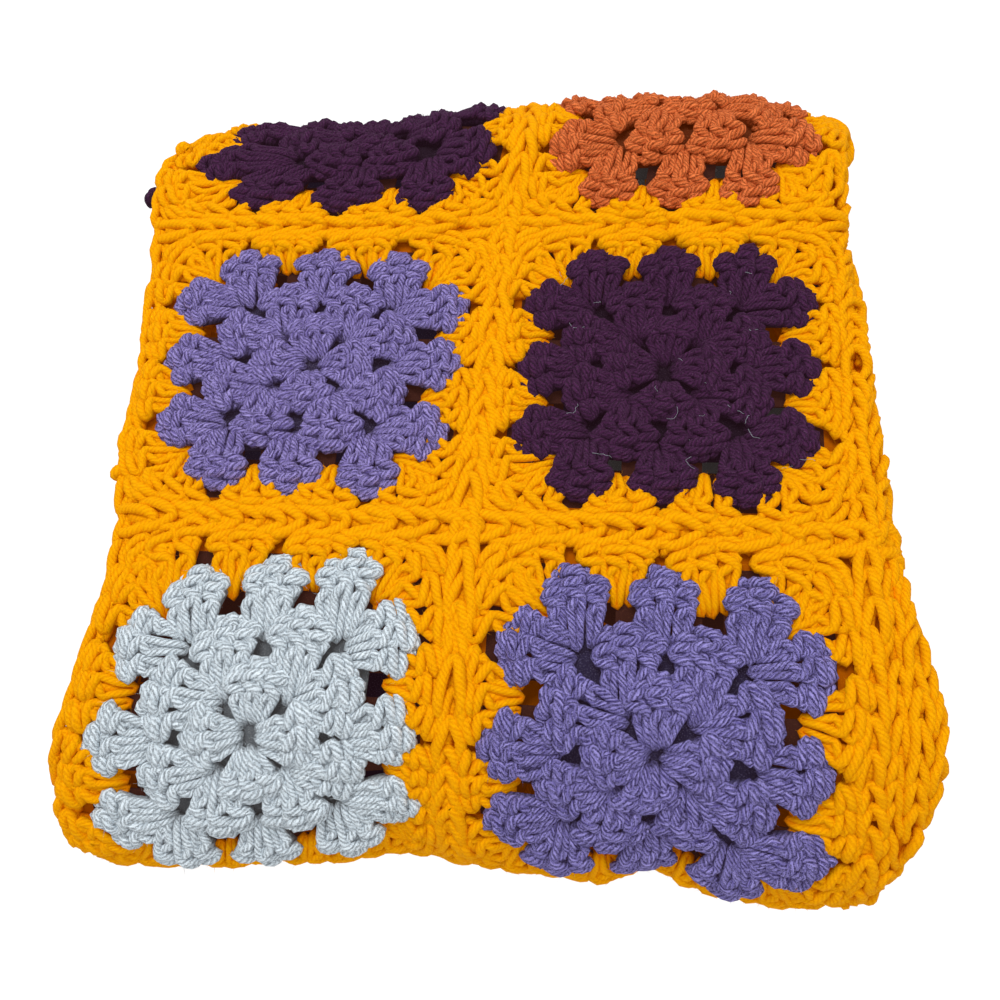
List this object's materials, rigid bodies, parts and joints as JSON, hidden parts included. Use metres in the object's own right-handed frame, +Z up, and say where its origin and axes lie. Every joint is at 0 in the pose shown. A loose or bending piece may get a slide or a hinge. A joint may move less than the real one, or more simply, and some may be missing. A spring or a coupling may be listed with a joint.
{
  "type": "folded granny square blanket",
  "caption": "Crocheted granny square blanket with raised joins, folded into a flat rectangular pile of plies with rounded folds, for laying on a shelf, bed or seat.",
  "frame": {"origin": "middle of the pile's footprint, on the surface that it rests on", "axes": "+Z up, +Y from the wide front fold to the back fold, +X towards the side fold, away from the free edges"},
  "size_m": [0.3375, 0.36, 0.1133],
  "materials": {
    "yarn_golden": "matte plied acrylic yarn",
    "yarn_plum": "matte plied acrylic yarn",
    "yarn_lavender": "matte plied acrylic yarn",
    "yarn_pale": "matte plied acrylic yarn",
    "yarn_rust": "matte plied acrylic yarn",
    "yarn_iris": "matte plied acrylic yarn"
  },
  "bodies": {
    "root": {"granny_blanket": "yarn_golden"}
  },
  "joints": []
}
